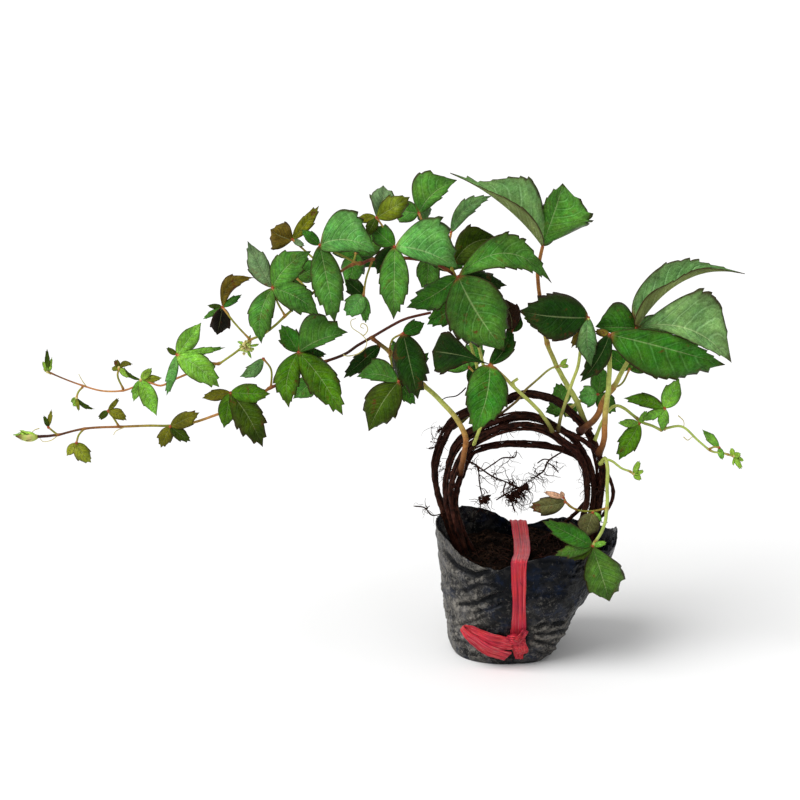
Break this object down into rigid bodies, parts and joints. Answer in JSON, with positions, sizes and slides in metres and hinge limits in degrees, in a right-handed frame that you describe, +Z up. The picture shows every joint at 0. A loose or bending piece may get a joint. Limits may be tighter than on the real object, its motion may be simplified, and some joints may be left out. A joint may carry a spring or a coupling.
{
  "type": "potted boston ivy",
  "caption": "Climbing creeper in a small nursery bag: a woody hoop of old vine with trailing and upright leafy shoots, tied round with a flat ribbon.",
  "frame": {"origin": "on the flat underside of the bag, beside the band that runs under it", "axes": "+Z up, +X to the right as the knot is seen from the front, +Y away from the knot"},
  "size_m": [0.4271, 0.1077, 0.291],
  "materials": {
    "bag_film": "creased black film with dried mud smears",
    "soil": "moist dark crumbs with fine roots",
    "ribbon": "crimson raffia ribbon with fine lengthwise ribs and a soft sheen",
    "old_wood": "knobbly dark bark with grey-brown ridges",
    "vine": "leaves glossy green to olive with pale veins and dark edges, stems red-brown to olive",
    "shoot": "leaves mid green with a satin sheen, pale green stalks with red-orange joints",
    "young_shoot": "bright yellow-green young leaves and stems"
  },
  "bodies": {
    "root": {"nursery_bag": "bag_film", "soil": "soil", "tie_ribbon": "ribbon", "wood_hoop": "old_wood", "vine_upper": "vine", "vine_lower": "vine", "shoot_front": "shoot", "shoot_bud": "young_shoot", "shoot_crown": "shoot", "shoot_dark": "shoot", "shoot_long": "shoot", "shoot_right": "shoot", "trailer_right": "young_shoot", "shoot_hanging": "young_shoot", "shoot_back": "young_shoot", "shoot_behind": "shoot"}
  },
  "joints": []
}
